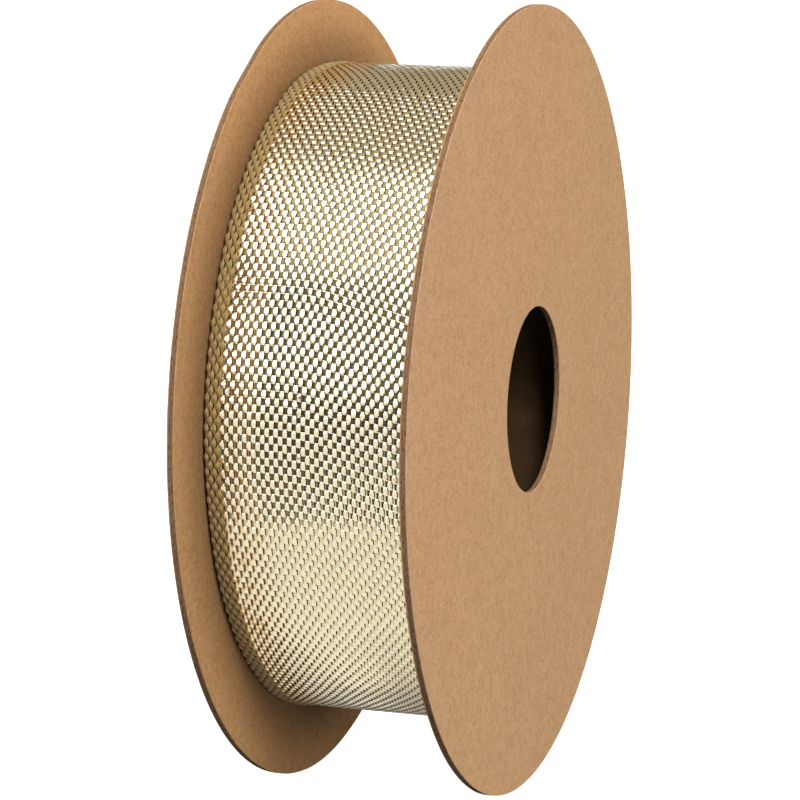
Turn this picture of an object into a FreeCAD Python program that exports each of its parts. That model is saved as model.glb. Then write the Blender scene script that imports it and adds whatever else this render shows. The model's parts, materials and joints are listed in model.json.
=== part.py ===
import FreeCAD, Part
import math
import os

# Ribbon spool: two round flanges of kraft-lined board on a paper core, wound with woven ribbon.
#
# Frame: +Z is up and the spool's axis runs along Y. The origin is the centre of the bore,
# midway between the flanges. The front flange is at -Y and the rear flange at +Y.
# Lengths are in millimetres. Angles are in degrees about the axis, from +X towards +Z.

# Driving dimensions
flange_diameter = 140.0
hole_diameter = 33.3
liner_thickness = 0.2
board_thickness = 0.8

ribbon_width = 37.8
ribbon_thickness = 0.4
ribbon_side_play = 0.3
winding_diameter = 116.0

core_inner_diameter = 50.0
core_ply_thickness = 1.0
glue_thickness = 0.3

start_tape_width = 19.0
start_tape_length = 30.0
start_tape_thickness = 0.1

end_tape_width = 25.0
end_tape_thickness = 0.08
end_tape_on_ribbon = 6.0
end_tape_past_ribbon = 6.0

hinge_angle = 20.0
free_end_arc = 30.0
free_end_clearance = 0.3

# Derived dimensions
flange_radius = flange_diameter / 2
hole_radius = hole_diameter / 2
flange_thickness = board_thickness + 2 * liner_thickness
flange_gap = ribbon_width + 2 * ribbon_side_play
half_gap = flange_gap / 2
half_ribbon = ribbon_width / 2

core_inner_radius = core_inner_diameter / 2
core_seam_radius = core_inner_radius + core_ply_thickness
core_outer_radius = core_seam_radius + core_ply_thickness
half_core = half_gap - glue_thickness

winding_radius = winding_diameter / 2
last_turn_inner_radius = winding_radius - ribbon_thickness

free_end_inner_radius = winding_radius + free_end_clearance
free_end_outer_radius = free_end_inner_radius + ribbon_thickness
free_end_stop_angle = hinge_angle - free_end_arc


def ring(inner_radius, outer_radius, y_low, y_high):
    """A plain ring about the spool's axis."""
    height = y_high - y_low
    base = FreeCAD.Vector(0, y_low, 0)
    axis = FreeCAD.Vector(0, 1, 0)
    outer = Part.makeCylinder(outer_radius, height, base, axis)
    inner = Part.makeCylinder(inner_radius, height, base, axis)
    return outer.cut(inner)


def on_circle(radius, angle, y):
    """The point at this radius and angle about the axis."""
    turn = math.radians(angle)
    return FreeCAD.Vector(radius * math.cos(turn), y, radius * math.sin(turn))


def curved_strip(inner_radius, thickness, half_width, angle_low, angle_high):
    """A strip that lies round the axis from angle_low to angle_high, centred on Y = 0."""
    outer_radius = inner_radius + thickness
    angle_middle = (angle_low + angle_high) / 2
    corners = {}
    for name, radius in (("inner", inner_radius), ("outer", outer_radius)):
        for end, angle in (("low", angle_low), ("middle", angle_middle), ("high", angle_high)):
            corners[name, end] = on_circle(radius, angle, -half_width)
    inner_arc = Part.Arc(corners["inner", "low"], corners["inner", "middle"], corners["inner", "high"])
    outer_arc = Part.Arc(corners["outer", "low"], corners["outer", "middle"], corners["outer", "high"])
    low_end = Part.LineSegment(corners["inner", "low"], corners["outer", "low"])
    high_end = Part.LineSegment(corners["inner", "high"], corners["outer", "high"])
    outline = Part.Wire([
        inner_arc.toShape(),
        high_end.toShape(),
        outer_arc.toShape(),
        low_end.toShape(),
    ])
    return Part.Face(outline).extrude(FreeCAD.Vector(0, 2 * half_width, 0))


def arc_angle(length, radius):
    """The angle that an arc of this length takes at this radius."""
    return math.degrees(length / radius)


def flange_plies(name, side):
    """One flange as three glued plies. side is -1 for the front flange and +1 for the rear."""
    plies = {}
    depth = half_gap
    for ply, thickness in (
        ("inner_liner", liner_thickness),
        ("board", board_thickness),
        ("outer_liner", liner_thickness),
    ):
        y_low, y_high = sorted((side * depth, side * (depth + thickness)))
        plies[name + "_" + ply] = ring(hole_radius, flange_radius, y_low, y_high)
        depth += thickness
    return plies


def core_plies():
    """The wound paper tube that carries the ribbon, as its inner and outer ply."""
    return {
        "core_inner_ply": ring(core_inner_radius, core_seam_radius, -half_core, half_core),
        "core_outer_ply": ring(core_seam_radius, core_outer_radius, -half_core, half_core),
    }


def glue_rings():
    """The glue between each end of the core and the flange beside it."""
    return {
        "front_glue": ring(core_inner_radius, core_outer_radius, -half_gap, -half_core),
        "rear_glue": ring(core_inner_radius, core_outer_radius, half_core, half_gap),
    }


def start_tape():
    """The tape that holds the ribbon's first end on the core."""
    half_angle = arc_angle(start_tape_length, core_outer_radius) / 2
    return curved_strip(
        core_outer_radius, start_tape_thickness, start_tape_width / 2, -half_angle, half_angle
    )


def ribbon_pack(tape):
    """All turns of the ribbon under the last one, wound tight over the start tape."""
    turns = ring(core_outer_radius, last_turn_inner_radius, -half_ribbon, half_ribbon)
    return turns.cut(tape)


def ribbon_last_turn():
    """The outermost whole turn of the ribbon."""
    return ring(last_turn_inner_radius, winding_radius, -half_ribbon, half_ribbon)


def ribbon_free_end():
    """The ribbon's cut end, which lies over the last turn and lifts off it."""
    return curved_strip(
        free_end_inner_radius, ribbon_thickness, half_ribbon, free_end_stop_angle, hinge_angle
    )


def end_tape():
    """The clear tape across the cut end. It lifts with the free end."""
    start = free_end_stop_angle + arc_angle(end_tape_on_ribbon, free_end_outer_radius)
    stop = free_end_stop_angle - arc_angle(end_tape_past_ribbon, free_end_outer_radius)
    return curved_strip(
        free_end_outer_radius, end_tape_thickness, end_tape_width / 2, stop, start
    )


def all_nodes():
    """Every piece of the spool by its node's name."""
    nodes = {}
    nodes.update(flange_plies("front", -1))
    nodes.update(flange_plies("rear", 1))
    nodes.update(core_plies())
    nodes.update(glue_rings())
    nodes["start_tape"] = start_tape()
    nodes["ribbon_pack"] = ribbon_pack(nodes["start_tape"])
    nodes["ribbon_last_turn"] = ribbon_last_turn()
    nodes["ribbon_free_end"] = ribbon_free_end()
    nodes["end_tape"] = end_tape()
    return nodes


os.makedirs("parts", exist_ok=True)
for node, solid in all_nodes().items():
    solid.exportStep("parts/" + node + ".step")
    print(node, "valid", solid.isValid(), "volume", round(solid.Volume, 2))
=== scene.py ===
import json
import math

import bpy
import numpy as np
from mathutils import Matrix, Vector


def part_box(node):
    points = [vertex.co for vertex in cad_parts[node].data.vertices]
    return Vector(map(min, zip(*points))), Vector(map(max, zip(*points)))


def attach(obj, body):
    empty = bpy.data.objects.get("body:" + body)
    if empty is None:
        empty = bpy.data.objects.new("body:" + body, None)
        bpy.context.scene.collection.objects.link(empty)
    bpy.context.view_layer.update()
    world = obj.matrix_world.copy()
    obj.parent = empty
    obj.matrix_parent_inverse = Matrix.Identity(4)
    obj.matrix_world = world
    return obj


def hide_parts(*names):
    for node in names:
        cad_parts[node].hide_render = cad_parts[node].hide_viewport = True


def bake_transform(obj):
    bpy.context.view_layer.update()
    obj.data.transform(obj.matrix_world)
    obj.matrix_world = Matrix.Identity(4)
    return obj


# A ribbon spool: kraft-lined board flanges, a paper core and a wound ribbon of pale gold film.
# The film is woven thread by thread as geometry. The spool's axis runs along Y and +Z is up.
# Lengths are in metres. Angles are in radians about the axis, from +X towards +Z, unless named
# as degrees. Along the ribbon, "path" is the distance from angle 0 at the winding's radius.

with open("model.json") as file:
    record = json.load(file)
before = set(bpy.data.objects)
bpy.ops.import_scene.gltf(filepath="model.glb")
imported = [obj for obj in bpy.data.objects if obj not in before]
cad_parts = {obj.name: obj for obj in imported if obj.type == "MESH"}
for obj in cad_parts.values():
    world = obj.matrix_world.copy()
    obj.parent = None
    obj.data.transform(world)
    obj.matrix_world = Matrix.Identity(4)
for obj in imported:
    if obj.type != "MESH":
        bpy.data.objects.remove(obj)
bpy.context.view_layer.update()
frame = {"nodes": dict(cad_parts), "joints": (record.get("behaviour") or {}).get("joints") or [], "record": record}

MM = 0.001


def half_height(node):
    """Half the height of a CAD node, which is the outer radius of a round one."""
    low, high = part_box(node)
    return (high.z - low.z) / 2


# Sizes read from the frame
flange_radius = half_height("front_board")
hole_radius = frame["record"]["mounts"][0]["dims"]["r_mm"] * MM
winding_radius = half_height("ribbon_last_turn")
pack_radius = half_height("ribbon_pack")
core_seam_radius = half_height("core_inner_ply")
core_outer_radius = half_height("core_outer_ply")
core_inner_radius = 2 * core_seam_radius - core_outer_radius  # both plies are equally thick
half_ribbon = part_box("ribbon_pack")[1].y
ribbon_thickness = winding_radius - pack_radius
floor_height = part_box("front_board")[0].z
hinge_place = Vector(frame["joints"][0]["pos_m"])
hinge_radius = math.hypot(hinge_place.x, hinge_place.z)
hinge_angle = math.atan2(hinge_place.z, hinge_place.x)
free_end_outer_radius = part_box("ribbon_free_end")[1].x
cut_angle = math.asin(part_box("ribbon_free_end")[0].z / free_end_outer_radius)

# The weave. A pick is one cross thread, and places along the ribbon are counted in picks. A swing
# is how far a thread moves up and down from its middle. The selvage yarns' half width and its
# change are shares of their pitch.
pick_pitch = 1.24 * MM
film_warps = 41
film_pitch = 0.785 * MM
film_width = film_pitch
film_swing = 0.10 * MM
weft_width = 1.08 * MM
weft_sink = 0.02 * MM
weft_sink_at_edges = 0.30 * MM
weft_dive = 0.24 * MM
weft_slope = math.tan(math.radians(9.2))
weft_scatter = 0.02 * MM
selvage_warps = 4
selvage_pitch = (2 * half_ribbon - film_warps * film_pitch) / (2 * selvage_warps)
selvage_swing = 0.18 * MM
selvage_half_width = 0.42
selvage_spread = 0.30
selvage_crown = 0.14 * MM
selvage_sink = 0.09 * MM

# A float is where a film thread lies on top. Steepness is how suddenly it dives at its ends, and
# each shortness takes a share of the thread's wave off the float.
float_steepness = 3.6
float_shortness = -0.04
corner_shortness = 0.18
crease_shortness = 0.32

# How much the film threads vary from crossing to crossing
shortness_spread = 0.07
tilt_along_spread = 0.035
tilt_across_spread = 0.030
aside_spread = 0.013 * MM

# The spool as it is wound and cut: the winding sits a little high and towards the front flange,
# that flange's hole is punched a little off centre, and one film thread has worked loose.
winding_rise = 0.93 * MM
winding_middle = -0.25 * MM
hole_shift = 1.4 * MM
loose_thread = 21

# The ribbon droops at both edges and curls up a little before the rear one. Its cross threads are
# straight on one half and lean on the other. It is creased at two places.
droop_depth = 0.3 * MM
droop_width = 1.5 * MM
curl_height = 0.16 * MM
curl_from = 13.0 * MM
curl_length = 4.4 * MM
lean = 0.24
lean_from = 2.0 * MM
lean_onset = 1.5 * MM
first_crease_angle = math.radians(153)
second_crease_angle = math.radians(170)

# Slow waves of the wound surface: height, path per radian, radians per metre of y, phase
surface_waves = [
    (0.060 * MM, 5.6 * MM, 70, 0.0),
    (0.042 * MM, 3.1 * MM, -120, 1.1),
    (0.030 * MM, 8.9 * MM, 190, 2.0),
]

# The cut edges of the flanges' plies: their rounding, their unevenness, and a dent in the rear rim
liner_corner = 0.05 * MM
board_corner = 0.03 * MM
liner_roughness = 0.045 * MM
board_roughness = 0.07 * MM
rear_dent_depth = 0.35 * MM
rear_dent_angle = math.radians(119)
rear_dent_width = math.radians(5)

# The paper strip of the core, the glue and the turns under the last one
strip_pitch = 34 * MM
strip_groove = 0.18 * MM
glue_fillet = 0.7 * MM
turn_pitch = 0.45 * MM

# Points round each ring, and along each thread for every pick. More on the wound turns or on the
# last turn's film would pass 200,000 triangles in one piece.
flange_steps = 1500
core_steps = 300
glue_steps = 240
wound_steps = 216
last_turn_film_steps = 7
free_end_film_steps = 8
selvage_steps = 8

# Where the last turn and the free end of the ribbon meet, where the last turn stops under the free
# end, where the free end has come down to the winding, and how much of the winding the bend takes
joint_angle = math.radians(60)
hidden_angle = math.radians(386)
ramp_angle = math.radians(52)
bend_angle = math.radians(14)


def smooth(t):
    """A smooth rise from 0 to 1 as t goes from 0 to 1."""
    t = np.clip(t, 0, 1)
    return t * t * (3 - 2 * t)


def bell(t):
    """A smooth bump of height 1 at t = 0, gone by about t = 2."""
    return np.exp(-t * t)


# ---------------------------------------------------------------- meshes

def make_object(name, points, faces, smooth_shading=True):
    """A mesh object in the row frame from its points and its faces' point numbers."""
    mesh = bpy.data.meshes.new(name)
    mesh.from_pydata(np.asarray(points).reshape(-1, 3).tolist(), [], np.asarray(faces).tolist())
    mesh.polygons.foreach_set("use_smooth", [smooth_shading] * len(mesh.polygons))
    mesh.update()
    obj = bpy.data.objects.new(name, mesh)
    bpy.context.scene.collection.objects.link(obj)
    return obj


def sheet_faces(strips, along, across, close_along=False, close_across=False):
    """Faces of a stack of point grids of the shape (strips, along, across)."""
    numbers = np.arange(strips * along * across).reshape(strips, along, across)
    if close_along:
        numbers = np.concatenate([numbers, numbers[:, :1]], axis=1)
    if close_across:
        numbers = np.concatenate([numbers, numbers[:, :, :1]], axis=2)
    a, b = numbers[:, :-1, :-1], numbers[:, 1:, :-1]
    c, d = numbers[:, 1:, 1:], numbers[:, :-1, 1:]
    return np.stack([a, b, c, d], axis=-1).reshape(-1, 4)


def on_axis(angle, y, radius):
    """Points at these angles, distances along the axis and radii."""
    angle, y, radius = np.broadcast_arrays(angle, y, radius)
    return np.stack([radius * np.cos(angle), y, radius * np.sin(angle)], axis=-1)


def turned_ring(name, profile, steps, unevenness, sharp_degrees=40, shift=None):
    """A closed ring from a profile of (radius, y) points. unevenness turns every point's angle,
    radius and y into its final radius and y. shift is a move along X that depends on the radius."""
    profile = np.asarray(profile, float)
    angle = np.linspace(0, 2 * math.pi, steps, endpoint=False)[:, None]
    radius = np.repeat(profile[None, :, 0], steps, axis=0)
    y = np.repeat(profile[None, :, 1], steps, axis=0)
    radius, y = unevenness(angle, radius, y)
    points = on_axis(angle, y, radius)
    if shift is not None:
        points[..., 0] += shift(radius)
    faces = sheet_faces(1, steps, len(profile), close_along=True, close_across=True)
    obj = make_object(name, points, faces)
    obj.data.set_sharp_from_angle(angle=math.radians(sharp_degrees))
    return obj


# ---------------------------------------------------------------- material helpers

def new_material(name):
    """A material with its node tree and its main shader."""
    material = bpy.data.materials.new(name)
    material.use_nodes = True
    tree = material.node_tree
    return material, tree, tree.nodes["Principled BSDF"]


def add_node(tree, kind, values=None, **settings):
    """A node with its settings and its input values, where a value may be another node's output."""
    node = tree.nodes.new(kind)
    for key, value in settings.items():
        setattr(node, key, value)
    for key, value in (values or {}).items():
        if isinstance(value, bpy.types.NodeSocket):
            tree.links.new(value, node.inputs[key])
        else:
            node.inputs[key].default_value = value
    return node


def place(tree, scale=(1, 1, 1), turn=(0, 0, 0)):
    """The point in the row frame, stretched and turned, for a texture to read."""
    where = add_node(tree, "ShaderNodeTexCoord").outputs["Object"]
    values = {"Vector": where, "Scale": scale, "Rotation": turn}
    return add_node(tree, "ShaderNodeMapping", values).outputs["Vector"]


def noise(tree, vector, scale, detail=3.0, roughness=0.5):
    """A noise texture's value."""
    values = {"Vector": vector, "Scale": scale, "Detail": detail, "Roughness": roughness}
    return add_node(tree, "ShaderNodeTexNoise", values).outputs["Fac"]


def remap(tree, value, low, high, to_low=0.0, to_high=1.0):
    """The value moved from the range low..high to another range, and kept inside it."""
    values = {"Value": value, "From Min": low, "From Max": high, "To Min": to_low, "To Max": to_high}
    return add_node(tree, "ShaderNodeMapRange", values).outputs["Result"]


def mix(tree, share, first, second, blend="MIX"):
    """Two colours mixed."""
    node = tree.nodes.new("ShaderNodeMix")
    node.data_type = "RGBA"
    node.blend_type = blend
    for socket, value in ((node.inputs[0], share), (node.inputs[6], first), (node.inputs[7], second)):
        if isinstance(value, bpy.types.NodeSocket):
            tree.links.new(value, socket)
        else:
            socket.default_value = value if isinstance(value, float) else (*value, 1)
    return node.outputs[2]


def add_bump(tree, shader, height, strength, distance):
    """Relief on the shader from a height value."""
    values = {"Height": height, "Strength": strength, "Distance": distance}
    bump = add_node(tree, "ShaderNodeBump", values)
    tree.links.new(bump.outputs["Normal"], shader.inputs["Normal"])


def fibres(tree, size, turn, share):
    """A soft mask of short curled fibres that lie near one direction."""
    vector = place(tree, scale=(1, 1, 0.3), turn=(0, turn, 0))
    values = {"Vector": vector, "Scale": 1 / size, "Detail": 1.0, "Distortion": 0.6}
    curled = add_node(tree, "ShaderNodeTexNoise", values).outputs["Fac"]
    return remap(tree, curled, 1 - share, 1.08 - share, 0.0, 0.55)


# ---------------------------------------------------------------- materials

def kraft_paper(name, tone, shaded_share=1.0):
    """Kraft liner: warm tan with a fine felt of lighter and darker fibres, tinted by its tone.
    From near its rim to the winding it darkens to the given share of its brightness: painted shade."""
    material, tree, shader = new_material(name)
    cloudy = noise(tree, place(tree, scale=(1, 1, 0.5)), 110, detail=3.0, roughness=0.6)
    blotchy = noise(tree, place(tree), 620, detail=3.0, roughness=0.65)
    grain = noise(tree, place(tree), 2100, detail=3.0, roughness=0.7)
    colour = mix(tree, remap(tree, cloudy, 0.3, 0.7), (0.455, 0.263, 0.133), (0.50, 0.30, 0.158))
    colour = mix(tree, remap(tree, blotchy, 0.38, 0.62, 0.0, 0.8), colour, (0.36, 0.20, 0.095))
    colour = mix(tree, remap(tree, grain, 0.38, 0.62, 0.0, 0.75), colour, (0.60, 0.375, 0.21))
    for turn, share in ((0.4, 0.36), (-0.5, 0.35), (1.4, 0.34)):
        colour = mix(tree, fibres(tree, 0.4 * MM, turn, share), colour, (0.58, 0.37, 0.21))
    for turn, share in ((0.0, 0.34), (-1.1, 0.33), (0.9, 0.33)):
        colour = mix(tree, fibres(tree, 0.35 * MM, turn, share), colour, (0.33, 0.18, 0.085))
    colour = mix(tree, 1.0, colour, tone, blend="MULTIPLY")
    # Painted shade: the colour darkens towards the winding, where the winding and the front flange shade the inner
    # face.
    off_axis = place(tree, scale=(1, 0, 1))
    distance = add_node(tree, "ShaderNodeVectorMath", {0: off_axis}, operation="LENGTH").outputs["Value"]
    painted_shade = remap(tree, distance, winding_radius + 1.0 * MM, flange_radius - 2.5 * MM, shaded_share, 1.0)
    colour = mix(tree, 1.0, colour, painted_shade, blend="MULTIPLY")
    tree.links.new(colour, shader.inputs["Base Color"])
    shader.inputs["Roughness"].default_value = 0.82
    shader.inputs["Specular IOR Level"].default_value = 0.2
    relief = add_node(tree, "ShaderNodeMath", {0: grain, 1: blotchy}, operation="ADD").outputs["Value"]
    add_bump(tree, shader, relief, 0.4, 0.06 * MM)
    return material


def grey_board():
    """The board between the liners: brown recycled fibre with dark specks, torn a little by the die."""
    material, tree, shader = new_material("grey_board")
    layers = noise(tree, place(tree, scale=(1, 5, 1)), 800, detail=4.0, roughness=0.7)
    specks = noise(tree, place(tree, scale=(1, 3, 1)), 1500, detail=2.0)
    colour = mix(tree, remap(tree, layers, 0.3, 0.7), (0.17, 0.098, 0.056), (0.31, 0.185, 0.108))
    colour = mix(tree, remap(tree, specks, 0.56, 0.66, 0.0, 0.85), colour, (0.07, 0.032, 0.018))
    tree.links.new(colour, shader.inputs["Base Color"])
    shader.inputs["Roughness"].default_value = 0.92
    shader.inputs["Specular IOR Level"].default_value = 0.15
    add_bump(tree, shader, layers, 0.6, 0.08 * MM)
    return material


def tube_paper():
    """The core's wound paper, with a faint band that follows the winding."""
    material, tree, shader = new_material("tube_paper")
    bands = noise(tree, place(tree, scale=(1, 0.3, 1)), 300, detail=4.0)
    grain = noise(tree, place(tree), 1400, detail=3.0)
    # These browns are the core paper's own colour made far darker: painted shade for the inside of the hole.
    colour = mix(tree, remap(tree, bands, 0.3, 0.7), (0.038, 0.021, 0.010), (0.054, 0.031, 0.016))
    colour = mix(tree, remap(tree, grain, 0.4, 0.7, 0.0, 0.4), colour, (0.066, 0.040, 0.023))
    tree.links.new(colour, shader.inputs["Base Color"])
    shader.inputs["Roughness"].default_value = 0.85
    add_bump(tree, shader, grain, 0.3, 0.05 * MM)
    return material


def gold_film(name, first, second, roughness):
    """Metallised film cut to narrow flat threads."""
    material, tree, shader = new_material(name)
    tarnish = noise(tree, place(tree), 700, detail=2.0)
    colour = mix(tree, remap(tree, tarnish, 0.3, 0.7), first, second)
    tree.links.new(colour, shader.inputs["Base Color"])
    shader.inputs["Metallic"].default_value = 1.0
    shader.inputs["Roughness"].default_value = roughness
    return material


def selvage_thread():
    """The dull yarn along the ribbon's edges."""
    material, tree, shader = new_material("selvage_thread")
    twist = noise(tree, place(tree), 4200, detail=2.0)
    colour = mix(tree, remap(tree, twist, 0.3, 0.7), (0.20, 0.13, 0.045), (0.45, 0.31, 0.12))
    tree.links.new(colour, shader.inputs["Base Color"])
    shader.inputs["Roughness"].default_value = 0.5
    shader.inputs["Sheen Weight"].default_value = 0.3
    add_bump(tree, shader, twist, 0.5, 0.05 * MM)
    return material


def wound_edges():
    """The turns under the last one: shadowed gold film, seen at their edges and between threads."""
    material, tree, shader = new_material("wound_edges")
    threads = noise(tree, place(tree), 2400, detail=2.0)
    colour = mix(tree, remap(tree, threads, 0.35, 0.65), (0.16, 0.115, 0.05), (0.46, 0.36, 0.17))
    tree.links.new(colour, shader.inputs["Base Color"])
    shader.inputs["Metallic"].default_value = 0.6
    shader.inputs["Roughness"].default_value = 0.45
    add_bump(tree, shader, threads, 0.4, 0.05 * MM)
    return material


def clear_tape():
    """Clear adhesive tape, a little cloudy where the glue has let go."""
    material, tree, shader = new_material("clear_tape")
    bubbles = noise(tree, place(tree), 500, detail=3.0)
    colour = mix(tree, remap(tree, bubbles, 0.4, 0.7), (0.86, 0.84, 0.76), (0.97, 0.96, 0.92))
    tree.links.new(colour, shader.inputs["Base Color"])
    shader.inputs["Roughness"].default_value = 0.12
    shader.inputs["Alpha"].default_value = 0.15
    return material


def paper_tape():
    """Cream paper tape with a crepe texture."""
    material, tree, shader = new_material("paper_tape")
    crepe = noise(tree, place(tree, scale=(1, 0.2, 1)), 1800, detail=2.0)
    colour = mix(tree, remap(tree, crepe, 0.35, 0.65), (0.62, 0.52, 0.33), (0.76, 0.67, 0.46))
    tree.links.new(colour, shader.inputs["Base Color"])
    shader.inputs["Roughness"].default_value = 0.7
    add_bump(tree, shader, crepe, 0.4, 0.05 * MM)
    return material


def hot_glue():
    """Cream hot-melt glue."""
    material, tree, shader = new_material("hot_glue")
    cloud = noise(tree, place(tree), 260, detail=2.0)
    colour = mix(tree, remap(tree, cloud, 0.3, 0.7), (0.62, 0.52, 0.36), (0.78, 0.7, 0.52))
    tree.links.new(colour, shader.inputs["Base Color"])
    shader.inputs["Roughness"].default_value = 0.35
    return material


KRAFT = kraft_paper("kraft_paper", (1.0, 1.0, 1.0))
# The inner liners get a browner tone and darken towards the winding: painted shade between the flanges.
INNER_KRAFT = kraft_paper("inner_kraft_paper", (1.02, 0.95, 0.80), 0.58)
BOARD = grey_board()
TUBE = tube_paper()
WARP_FILM = gold_film("warp_film", (0.92, 0.84, 0.64), (0.96, 0.89, 0.70), 0.15)
WEFT_FILM = gold_film("weft_film", (0.74, 0.66, 0.43), (0.82, 0.74, 0.50), 0.15)
SELVAGE = selvage_thread()
EDGES = wound_edges()
CLEAR_TAPE = clear_tape()
PAPER_TAPE = paper_tape()
GLUE = hot_glue()


def finish_piece(obj, material, body, replaced=()):
    """Gives a piece its material and its body, and hides the CAD nodes it stands for."""
    obj.data.materials.append(material)
    if body:
        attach(obj, body)
    if replaced:
        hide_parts(*replaced)
    return obj


def repaint(node, material):
    """Gives its material to a CAD node that is shown as it is."""
    materials = frame["nodes"][node].data.materials
    materials.clear()
    materials.append(material)


# ---------------------------------------------------------------- flanges

def cut_edges(seed, roughness, dent):
    """A function that roughens the cut edges of a ply, and presses a dent of this depth into its rim."""
    rng = np.random.default_rng(seed)
    ripples = []
    for around in (3, 5, 11, 23, 47, 83, 131, 197, 263, 331, 409, 523, 647):
        ripples.append((around, rng.uniform(0, 2 * math.pi), rng.uniform(0.4, 1.0) / around ** 0.3))

    def roughen(angle, radius, y):
        wobble = 0
        for around, phase, size in ripples:
            wobble = wobble + size * np.sin(around * angle + phase + 3 * y / MM)
        wobble = wobble * roughness / 3
        outer = radius > 0.97 * flange_radius
        inner = radius < 1.06 * hole_radius
        flattened = dent * bell((angle - rear_dent_angle) / rear_dent_width)
        return radius + np.where(outer | inner, wobble, 0) - np.where(outer, flattened, 0), y

    return roughen


def flange_ply(side, ply, material, corner, roughness, seed):
    """One ply of a flange: a thin ring with softened corners and a roughly cut edge. The inner
    liner's bore is a little wider, and the front flange's bore is off centre."""
    node = side + "_" + ply
    low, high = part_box(node)
    bore = hole_radius + (0.2 * MM if ply == "inner_liner" else 0)
    off_centre = hole_shift if side == "front" else 0
    dent = rear_dent_depth if side == "rear" else 0
    face_rings = np.linspace(bore + 2 * corner, flange_radius - 2 * corner, 8)
    profile = [(bore, low.y + corner), (bore, high.y - corner), (bore + corner, high.y)]
    profile += [(radius, high.y) for radius in face_rings]
    profile += [(flange_radius - corner, high.y), (flange_radius, high.y - corner)]
    profile += [(flange_radius, low.y + corner), (flange_radius - corner, low.y)]
    profile += [(radius, low.y) for radius in face_rings[::-1]]
    profile += [(bore + corner, low.y)]

    def moved_bore(radius):
        return off_centre * (1 - smooth((radius - 1.1 * hole_radius) / hole_radius))

    roughen = cut_edges(seed, roughness, dent)
    ring = turned_ring(node + "_sheet", profile, flange_steps, roughen, shift=moved_bore)
    return finish_piece(ring, material, "spool", [node])


for number, side in enumerate(("front", "rear")):
    flange_ply(side, "inner_liner", INNER_KRAFT, liner_corner, liner_roughness, 10 + number)
    flange_ply(side, "board", BOARD, board_corner, board_roughness, 20 + number)
    flange_ply(side, "outer_liner", KRAFT, liner_corner, liner_roughness, 30 + number)


# ---------------------------------------------------------------- core

def core_wall(node, inner, outer):
    """One ply of the core tube. Its inner face has the shallow groove where the paper strip meets."""
    low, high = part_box(node)
    rows = np.linspace(low.y, high.y, 60)
    profile = [(inner, y) for y in rows] + [(outer, y) for y in rows[::-1]]

    def seam(angle, radius, y):
        turns = (y - low.y) / strip_pitch - angle / (2 * math.pi)
        apart = np.abs((turns + 0.5) % 1 - 0.5) * strip_pitch
        depth = strip_groove * bell(apart / (0.35 * MM))
        return radius + np.where(radius < (inner + outer) / 2, depth, 0), y

    return turned_ring(node + "_tube", profile, core_steps, seam)


inner_ply = core_wall("core_inner_ply", core_inner_radius, core_seam_radius)
finish_piece(inner_ply, TUBE, "spool", ["core_inner_ply"])
repaint("core_outer_ply", TUBE)


def glue_bead(node, inward):
    """A ring of glue with an uneven fillet squeezed out into the core. inward points to its middle."""
    low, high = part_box(node)
    outside = low.y if inward > 0 else high.y
    inside = high.y if inward > 0 else low.y
    profile = [
        (core_outer_radius, outside),
        (core_outer_radius, inside),
        (core_inner_radius, inside),
        (core_inner_radius - 0.02 * MM, inside + inward * glue_fillet),
        (core_inner_radius - 0.3 * glue_fillet, inside + inward * 0.35 * glue_fillet),
        (core_inner_radius - glue_fillet, outside),
    ]

    def lumps(angle, radius, y):
        size = 1 + 0.35 * np.sin(7 * angle) + 0.25 * np.sin(19 * angle + 1.0) + 0.2 * np.sin(41 * angle)
        squeezed = radius < core_inner_radius - 0.01 * MM
        return np.where(squeezed, core_inner_radius + (radius - core_inner_radius) * size, radius), y

    return turned_ring(node + "_bead", profile, glue_steps, lumps)


finish_piece(glue_bead("front_glue", 1), GLUE, "spool", ["front_glue"])
finish_piece(glue_bead("rear_glue", -1), GLUE, "spool", ["rear_glue"])
repaint("start_tape", PAPER_TAPE)


# ---------------------------------------------------------------- the ribbon's surface

def edge_droop(y):
    """How far the ribbon sinks at its very edges, after curling up a little towards the rear one."""
    past = np.clip((np.abs(y) - half_ribbon + droop_width) / droop_width, 0, None)
    return droop_depth * past ** 2 - curl_height * smooth((y - curl_from) / curl_length)


def rise_at(angle):
    """How much further out than its own circle the winding sits, having slipped upwards."""
    return winding_rise * np.sin(angle - hinge_angle)


def pick_lean(y):
    """How far along the path the cross threads lean: straight on one half, slanting on the other."""
    past = (lean_from - y) / lean_onset
    return lean * lean_onset * np.logaddexp(0, past)


def waves(path, y):
    """Slow unevenness of the wound surface."""
    return sum(
        height * np.sin(path / per_radian + slant * y + phase)
        for height, per_radian, slant, phase in surface_waves
    )


def ribbon_radius(path, y):
    """Radius of the middle of the ribbon's outermost layer."""
    angle = path / winding_radius
    middle = winding_radius - 0.35 * ribbon_thickness
    sunk = 0.25 * ribbon_thickness * np.clip(angle - joint_angle, 0, None) / (2 * math.pi)
    lifted = (hinge_radius - middle) * (1 - smooth((angle - hinge_angle) / (ramp_angle - hinge_angle)))
    return middle + rise_at(angle) - sunk + lifted + waves(path, y) - edge_droop(y)


def crease(path, y):
    """How strongly the cloth is creased here, from 0 to 1. The film threads dive deeper there."""
    along = path - pick_lean(y)
    first = bell((along - first_crease_angle * winding_radius) / (3.0 * MM))
    second = bell((along - second_crease_angle * winding_radius) / (2.2 * MM))
    rear_half = smooth(y / (6 * MM) + 0.5)
    return np.clip(first + 0.6 * second * rear_half, 0, 1)


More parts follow.
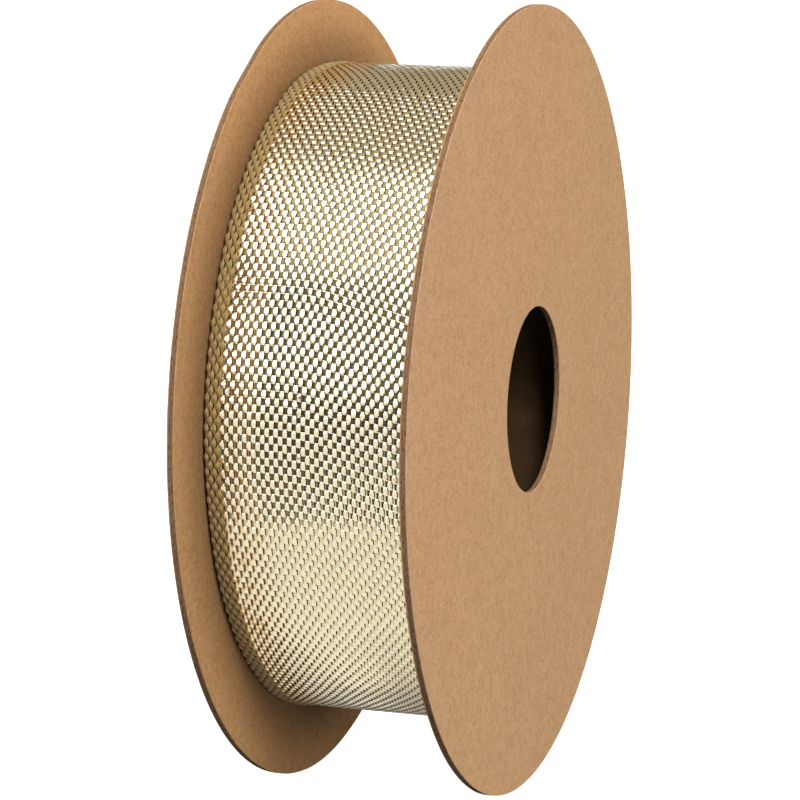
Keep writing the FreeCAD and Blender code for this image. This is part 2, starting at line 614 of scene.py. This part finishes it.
# Middle of every lengthwise thread, from +Y to -Y: a selvage, the film threads, a selvage
from_edge = (np.arange(selvage_warps) + 0.5) * selvage_pitch
film_middles = ((film_warps - 1) / 2 - np.arange(film_warps)) * film_pitch
thread_middles = np.concatenate([half_ribbon - from_edge, film_middles, from_edge[::-1] - half_ribbon])
thread_numbers = np.arange(len(thread_middles))
film_numbers = thread_numbers[selvage_warps:selvage_warps + film_warps]
selvage_numbers = np.concatenate([thread_numbers[:selvage_warps], thread_numbers[-selvage_warps:]])


def per_crossing(rng, size, crossing, row):
    """One random value for every crossing of every thread, given to the points near it."""
    column = (crossing - crossing.min()).astype(int)
    return rng.normal(0, size, (len(row), column.max() + 1))[row, column]


def film_threads(name, numbers, pick_from, pick_to, per_pick, rng):
    """Flat lengthwise threads that pass over and under the cross threads, with rounded float ends.
    pick_from and pick_to have one number per thread. per_pick is the points along each pick."""
    y_middle = thread_middles[numbers][:, None]
    steps = int(round((max(pick_to) - min(pick_from)) * per_pick)) + 1
    start = np.asarray(pick_from, float)[:, None]
    stop = np.asarray(pick_to, float)[:, None]
    pick = start + (stop - start) * np.linspace(0, 1, steps)[None]
    path = pick * pick_pitch + pick_lean(y_middle)
    crossing = np.round(pick)
    row = np.arange(len(numbers))[:, None]
    window = np.cos(math.pi * (pick - crossing)) ** 2
    looser = np.where(numbers == loose_thread, 2.5, 1.0)[:, None]
    tilt_along = looser * window * per_crossing(rng, tilt_along_spread, crossing, row)
    tilt_across = looser * window * per_crossing(rng, tilt_across_spread, crossing, row)
    aside = looser * window * per_crossing(rng, aside_spread, crossing, row)
    short = float_shortness + per_crossing(rng, shortness_spread, crossing, row)
    short = short + crease_shortness * crease(path, y_middle)
    wave = np.cos(math.pi * (pick + numbers[:, None]))
    points = []
    for across in (-0.5, -0.33, 0.33, 0.5):
        corner = corner_shortness if abs(across) == 0.5 else 0
        lift = np.tanh(float_steepness * (wave - short - corner))
        y = y_middle + aside + across * film_width
        tilt = tilt_along * (pick - crossing) * pick_pitch + tilt_across * across * film_width
        radius = ribbon_radius(path, y) + film_swing * lift + tilt
        points.append(on_axis(path / winding_radius, y + winding_middle, radius))
    return make_object(name, np.stack(points, axis=2), sheet_faces(len(numbers), steps, 4))


def cross_threads(name, picks, rng):
    """Flat cross threads, one for each pick. Each lies like a low roof over the lengthwise threads
    it crosses on top of, and dives under the next ones. Inside the selvages it runs deeper."""
    picks = np.asarray(picks, float)[:, None]
    last = len(thread_middles) - 1
    thread = np.sort(np.concatenate([thread_numbers + part for part in (0.0, 0.38, 0.5, 0.62)]))
    thread = np.concatenate([[-0.5], thread])[None]
    outside = np.clip(-thread, 0, None) - np.clip(thread - last, 0, None)
    y = np.interp(thread, thread_numbers, thread_middles) + outside * selvage_pitch
    in_film = smooth(thread - selvage_warps + 1.0) * smooth(last + 1 - selvage_warps - thread)
    from_crest = np.abs((thread + picks) % 2 - 1)
    drop = weft_slope * film_pitch * np.clip(from_crest, 0, 0.5)
    drop = drop + weft_dive * smooth((from_crest - 0.5) / 0.4)
    height = -(drop + weft_sink) * in_film - weft_sink_at_edges * (1 - in_film)
    scatter = rng.normal(0, weft_scatter, (len(picks), thread.shape[1]))
    path = picks * pick_pitch + pick_lean(y) + scatter
    points = []
    for across in (-0.5, 0.5):
        edge = path + across * weft_width
        points.append(on_axis(edge / winding_radius, y + winding_middle, ribbon_radius(edge, y) + height))
    faces = sheet_faces(len(picks), thread.shape[1], 2)
    return make_object(name, np.stack(points, axis=2), faces, smooth_shading=False)


def selvage_threads(name, pick_from, pick_to, per_pick):
    """Dull yarns along both edges, in the same weave. They spread where they lie on top, and leave
    a narrow dark slot beside every crossing where their neighbour dips."""
    steps = int(round((pick_to - pick_from) * per_pick)) + 1
    pick = np.linspace(pick_from, pick_to, steps)[None]
    y_middle = thread_middles[selvage_numbers][:, None]
    path = pick * pick_pitch + pick_lean(y_middle)
    wave = np.cos(math.pi * (pick + selvage_numbers[:, None]))
    half_width = selvage_pitch * (selvage_half_width + selvage_spread * wave)
    points = []
    for share in np.linspace(-1, 1, 6):
        y = np.clip(y_middle + half_width * share, -half_ribbon, half_ribbon)
        crown = selvage_crown * (1 - share * share)
        radius = ribbon_radius(path, y) + selvage_swing * wave + crown - selvage_sink
        points.append(on_axis(path / winding_radius, y + winding_middle, radius))
    return make_object(name, np.stack(points, axis=2), sheet_faces(len(selvage_numbers), steps, 6))


def under_pick(number, pick):
    """The first pick from this one on where this thread passes under the cross thread."""
    return pick if (number + pick) % 2 == 1 else pick + 1


# ---------------------------------------------------------------- the ribbon's pieces

seam_pick = int(joint_angle * winding_radius / pick_pitch)
last_pick = int((hidden_angle * winding_radius - 4 * MM) / pick_pitch)
third_size = math.ceil(film_warps / 3)
film_thirds = [
    ("rear", film_numbers[:third_size]),
    ("middle", film_numbers[third_size:2 * third_size]),
    ("front", film_numbers[2 * third_size:]),
]


def last_turn():
    """The last whole turn: the film threads in three bands, the cross threads and the selvages."""
    rng = np.random.default_rng(7)
    for third, numbers in film_thirds:
        start = [under_pick(n, seam_pick) for n in numbers]
        stop = [under_pick(n, last_pick) for n in numbers]
        obj = film_threads("last_turn_warp_" + third, numbers, start, stop, last_turn_film_steps, rng)
        finish_piece(obj, WARP_FILM, "spool")
    obj = selvage_threads("last_turn_selvage", seam_pick, last_pick, selvage_steps)
    finish_piece(obj, SELVAGE, "spool")
    weft = cross_threads("last_turn_weft", np.arange(seam_pick + 1, last_pick), rng)
    finish_piece(weft, WEFT_FILM, "spool", ["ribbon_last_turn"])


def free_end():
    """The free end, which bends out about the hinge, with its cut threads."""
    rng = np.random.default_rng(8)
    cut_path = cut_angle * winding_radius
    bend_to = Vector(on_axis(hinge_angle - bend_angle, 0, hinge_radius).tolist())
    parts = []
    for third, numbers in film_thirds:
        frayed = rng.normal(0, 0.25 * MM, len(numbers))
        start = (cut_path + frayed - pick_lean(thread_middles[numbers])) / pick_pitch
        stop = [under_pick(n, seam_pick) for n in numbers]
        obj = film_threads("free_end_warp_" + third, numbers, start, stop, free_end_film_steps, rng)
        parts.append((obj, WARP_FILM))
    first_pick = int(math.ceil((cut_path - pick_lean(half_ribbon)) / pick_pitch)) + 1
    selvage = selvage_threads("free_end_selvage", first_pick, seam_pick, selvage_steps)
    parts.append((selvage, SELVAGE))
    weft = cross_threads("free_end_weft", np.arange(first_pick, seam_pick + 1), rng)
    for obj, material in parts:
        finish_piece(obj, material, None)
        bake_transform(obj)
    finish_piece(weft, WEFT_FILM, None, ["ribbon_free_end"])
    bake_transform(weft)


def wound_turns():
    """All turns below the last one, as one body with the ridge of every turn's edge on both sides."""
    rng = np.random.default_rng(9)
    turns = int((pack_radius - core_outer_radius) / turn_pitch)
    edges = np.linspace(core_outer_radius, pack_radius - 1.0 * MM, turns)
    pitch = edges[1] - edges[0]
    inset = rng.uniform(0.05, 0.4, turns) * MM
    notch = 0.25 * MM
    side = []
    for radius, depth in zip(edges, inset):
        side.append((radius + 0.15 * pitch, half_ribbon - notch - depth))
        side.append((radius + 0.5 * pitch, half_ribbon - depth))
        side.append((radius + 0.85 * pitch, half_ribbon - notch - depth))
    half_top = half_ribbon - 0.35 * MM
    top = [(pack_radius - 0.1 * MM - edge_droop(y), y) for y in np.linspace(half_top, -half_top, 44)]
    half_foot = half_ribbon - 0.5 * MM
    profile = [(core_outer_radius, half_foot)] + side + top
    profile += [(radius, -y) for radius, y in side[::-1]] + [(core_outer_radius, -half_foot)]

    def risen(angle, radius, y):
        share = (radius - core_outer_radius) / (pack_radius - core_outer_radius)
        return radius + share * rise_at(angle), y + winding_middle

    body = turned_ring("wound_turns", profile, wound_steps, risen, sharp_degrees=80)
    return finish_piece(body, EDGES, "spool", ["ribbon_pack"])


def end_tape():
    """Clear tape over the cut end: it steps down from the free end to the turn below."""
    low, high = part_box("end_tape")
    rows, columns = 34, 26
    across = np.linspace(low.y, high.y, columns)[None]
    tape_radius = free_end_outer_radius + 0.02 * MM
    last_angle = math.asin(low.z / (free_end_outer_radius + 0.08 * MM))
    first_angle = 2 * cut_angle - last_angle
    angle = np.linspace(first_angle, last_angle, rows)[:, None]
    step = smooth((cut_angle - angle) / math.radians(3.0))
    down = (free_end_outer_radius - winding_radius - 0.25 * MM) * step
    wrinkle = 0.02 * MM * np.sin(2600 * across + 40 * angle) * step
    points = on_axis(angle, across, tape_radius - down + wrinkle)
    obj = make_object("clear_end_tape", points[None], sheet_faces(1, rows, columns))
    thickness = obj.modifiers.new("thickness", "SOLIDIFY")
    thickness.thickness = 0.05 * MM
    thickness.offset = 1
    return finish_piece(obj, CLEAR_TAPE, "free_end", ["end_tape"])


wound_turns()
last_turn()
free_end()
end_tape()


# ---------------------------------------------------------------- stage, light and camera

def studio_sweep():
    """A plain pale floor that curves up into a low wall all round. Its glow keeps it near white."""
    flat_radius, curve_radius, steps = 1.4, 0.8, 96
    curve = np.linspace(0.2, 1.57, 8)
    radii = np.concatenate([[0.0001, 0.3, 0.8, flat_radius], flat_radius + curve_radius * np.sin(curve)])
    heights = np.concatenate([np.zeros(4), curve_radius * (1 - np.cos(curve))])
    angle = np.linspace(0, 2 * math.pi, steps, endpoint=False)[:, None]
    x = radii * np.cos(angle)
    y = radii * np.sin(angle)
    z = heights + floor_height - 0.02 * MM + 0 * angle
    faces = sheet_faces(1, steps, len(radii), close_along=True)[:, ::-1]
    obj = make_object("studio_sweep", np.stack([x, y, z], axis=-1)[None], faces)
    material, _, shader = new_material("pale_floor")
    shader.inputs["Base Color"].default_value = (0.5, 0.5, 0.5, 1)
    shader.inputs["Roughness"].default_value = 0.9
    shader.inputs["Specular IOR Level"].default_value = 0.0
    shader.inputs["Emission Color"].default_value = (1, 1, 1, 1)
    shader.inputs["Emission Strength"].default_value = 0.9
    obj.data.materials.append(material)
    obj.visible_glossy = False
    obj.visible_diffuse = False


def reflector(name, points, colour, strength, fade=None):
    """A card that shows only in reflections, as a photographer's cards shape the light on metal.
    points is a grid of the shape (along, across, 3). fade is (x, x, share): over that stretch of x
    the card's strength falls from its full value to that share of it."""
    along, across = points.shape[:2]
    obj = make_object(name, points[None], sheet_faces(1, along, across))
    material = bpy.data.materials.new(name)
    material.use_nodes = True
    tree = material.node_tree
    tree.nodes.clear()
    glow = add_node(tree, "ShaderNodeEmission", {"Color": (*colour, 1), "Strength": strength})
    if fade:
        x = add_node(tree, "ShaderNodeSeparateXYZ", {"Vector": place(tree)}).outputs["X"]
        faded = remap(tree, x, fade[0], fade[1], strength, strength * fade[2])
        tree.links.new(faded, glow.inputs["Strength"])
    output = tree.nodes.new("ShaderNodeOutputMaterial")
    tree.links.new(glow.outputs[0], output.inputs["Surface"])
    material.cycles.emission_sampling = "NONE"
    obj.data.materials.append(material)
    obj.visible_camera = False
    obj.visible_diffuse = False
    obj.visible_shadow = False
    obj.visible_transmission = False


def arched_card(name, distance, rise_from, rise_to, y_from, y_to, colour, strength):
    """A card bent round the spool's axis. Rises are in degrees up from -X, and past 90 they lean
    towards +X."""
    rise = np.radians(np.linspace(rise_from, rise_to, 40))[:, None]
    y = np.linspace(y_from, y_to, 6)[None]
    x = -distance * np.cos(rise) + 0 * y
    z = distance * np.sin(rise) + 0 * y
    reflector(name, np.stack([x, y + 0 * rise, z], axis=-1), colour, strength)


def floor_card(name, radius, colour, strength, fade):
    """A round card on the floor under the spool, dimmer in the spool's own shadow."""
    angle = np.linspace(0, 2 * math.pi, 49)[:, None]
    r = np.linspace(0.001, radius, 6)[None]
    z = floor_height - 0.1 * MM + 0 * angle * r
    reflector(name, np.stack([r * np.cos(angle), r * np.sin(angle), z], axis=-1), colour, strength, fade)


def floor_runner(name, side, y_slopes, length, colour, strength):
    """A card on the floor that runs out to one side and widens, between two slopes of y over
    distance. side is -1 for -X and 1 for +X."""
    out = np.linspace(0.02, length, 20)[:, None]
    slope = np.linspace(*y_slopes, 4)[None]
    z = floor_height - 0.05 * MM + 0 * out * slope
    reflector(name, np.stack([side * out + 0 * slope, out * slope, z], axis=-1), colour, strength)


def dark_room(radius, colour):
    """The dim studio round the cards, as the metal sees it."""
    angle = np.linspace(0, 2 * math.pi, 49)[:, None]
    rise = np.linspace(-math.pi / 2, math.pi / 2, 25)[None]
    x = radius * np.cos(rise) * np.cos(angle)
    y = radius * np.cos(rise) * np.sin(angle)
    z = radius * np.sin(rise) + 0 * angle
    reflector("dark_room", np.stack([x, y, z], axis=-1), colour, 1.0)


def soft_light(name, azimuth, elevation, distance, size, power):
    """A square soft light aimed at the spool, placed by its direction in degrees like a camera's.
    It lights the board but doesn't show in the film."""
    light = bpy.data.lights.new(name, "AREA")
    light.size = size
    light.energy = power
    light.color = (1.0, 0.985, 0.96)
    obj = bpy.data.objects.new(name, light)
    turn, rise = math.radians(azimuth), math.radians(elevation)
    towards = Vector((math.sin(turn) * math.cos(rise), -math.cos(turn) * math.cos(rise), math.sin(rise)))
    obj.location = towards * distance
    obj.rotation_euler = (-towards).to_track_quat("-Z", "Y").to_euler()
    obj.visible_glossy = False
    bpy.context.scene.collection.objects.link(obj)


def plain_world(strength):
    """Even white light from all round, kept out of the reflections."""
    world = bpy.data.worlds.new("studio")
    bpy.context.scene.world = world
    world.use_nodes = True
    background = world.node_tree.nodes["Background"]
    background.inputs["Color"].default_value = (1, 1, 1, 1)
    background.inputs["Strength"].default_value = strength
    world.cycles_visibility.glossy = False


studio_sweep()
plain_world(0.058)

# Name, azimuth, elevation, distance, size, power
soft_light("front_light", -4, 4, 1.3, 0.5, 3.6)
soft_light("side_light", 18, 8, 1.3, 0.4, 2.4)
soft_light("left_light", -47, 44, 1.8, 0.6, 25)
soft_light("low_light", -47, 8, 1.3, 0.4, 4.5)
soft_light("top_light", -60, 70, 1.3, 0.5, 5)
soft_light("rim_light", -98, 15, 1.2, 0.5, 2.5)
soft_light("back_light", 155, 30, 1.3, 0.6, 19)
soft_light("far_light", 85, 20, 1.3, 0.6, 14)

# What the film reflects. Arched cards: name, distance, rises, y range, colour, strength
floor_colour = (1.0, 0.955, 0.87)
dark_room(1.6, (0.045, 0.042, 0.026))
arched_card("tall_softbox", 0.9, 6.0, 90.0, 0.13, 0.50, (1, 1, 1), 1.9)
arched_card("low_card", 0.9, -9.0, 6.0, 0.13, 0.50, floor_colour, 0.97)
arched_card("upper_glow", 1.2, 51.0, 91.0, -1.0, 1.2, (0.62, 0.54, 0.38), 1.0)
arched_card("dim_ceiling", 1.2, 91.0, 150.0, -0.8, 1.2, (0.34, 0.27, 0.17), 1.0)
arched_card("dim_wall", 1.3, 8.0, 51.0, -1.0, 1.2, (0.17, 0.15, 0.095), 1.0)
arched_card("ceiling_strip", 1.1, 91.0, 160.0, 0.10, 0.70, (0.44, 0.36, 0.26), 1.0)
arched_card("side_softbox", 0.9, 5.0, 80.0, -1.5, -0.72, (1, 1, 1), 1.2)
arched_card("far_softbox", 0.9, 166.0, 183.0, -1.0, 1.2, (1, 1, 1), 1.6)
floor_card("floor_card", 0.135, floor_colour, 0.95, (-0.065, 0.0, 0.15))
floor_runner("floor_runner", -1, (0.12, 0.56), 1.3, floor_colour, 0.95)
floor_runner("far_runner", 1, (-0.5, 0.4), 1.3, floor_colour, 0.7)

# The camera. Its aim is how far to the right and up of the origin it looks.
view_azimuth = math.radians(-71.243)
view_elevation = math.radians(10.918)
view_distance = 571.09 * MM
view_aim_right = -4.145 * MM
view_aim_up = -1.073 * MM
view_lens = 142.97


def add_camera():
    """The camera at the photograph's angle."""
    back = Vector((
        math.sin(view_azimuth) * math.cos(view_elevation),
        -math.cos(view_azimuth) * math.cos(view_elevation),
        math.sin(view_elevation),
    ))
    right = (-back).cross(Vector((0, 0, 1))).normalized()
    up = right.cross(-back)
    data = bpy.data.cameras.new("camera")
    data.lens = view_lens
    data.sensor_width = 36.0
    data.clip_start = 0.01
    camera = bpy.data.objects.new("camera", data)
    turn = Matrix((right, up, back)).transposed().to_4x4()
    spot = back * view_distance + right * view_aim_right + up * view_aim_up
    camera.matrix_world = Matrix.Translation(spot) @ turn
    bpy.context.scene.collection.objects.link(camera)
    bpy.context.scene.camera = camera


add_camera()
bpy.context.scene.view_settings.view_transform = "Standard"
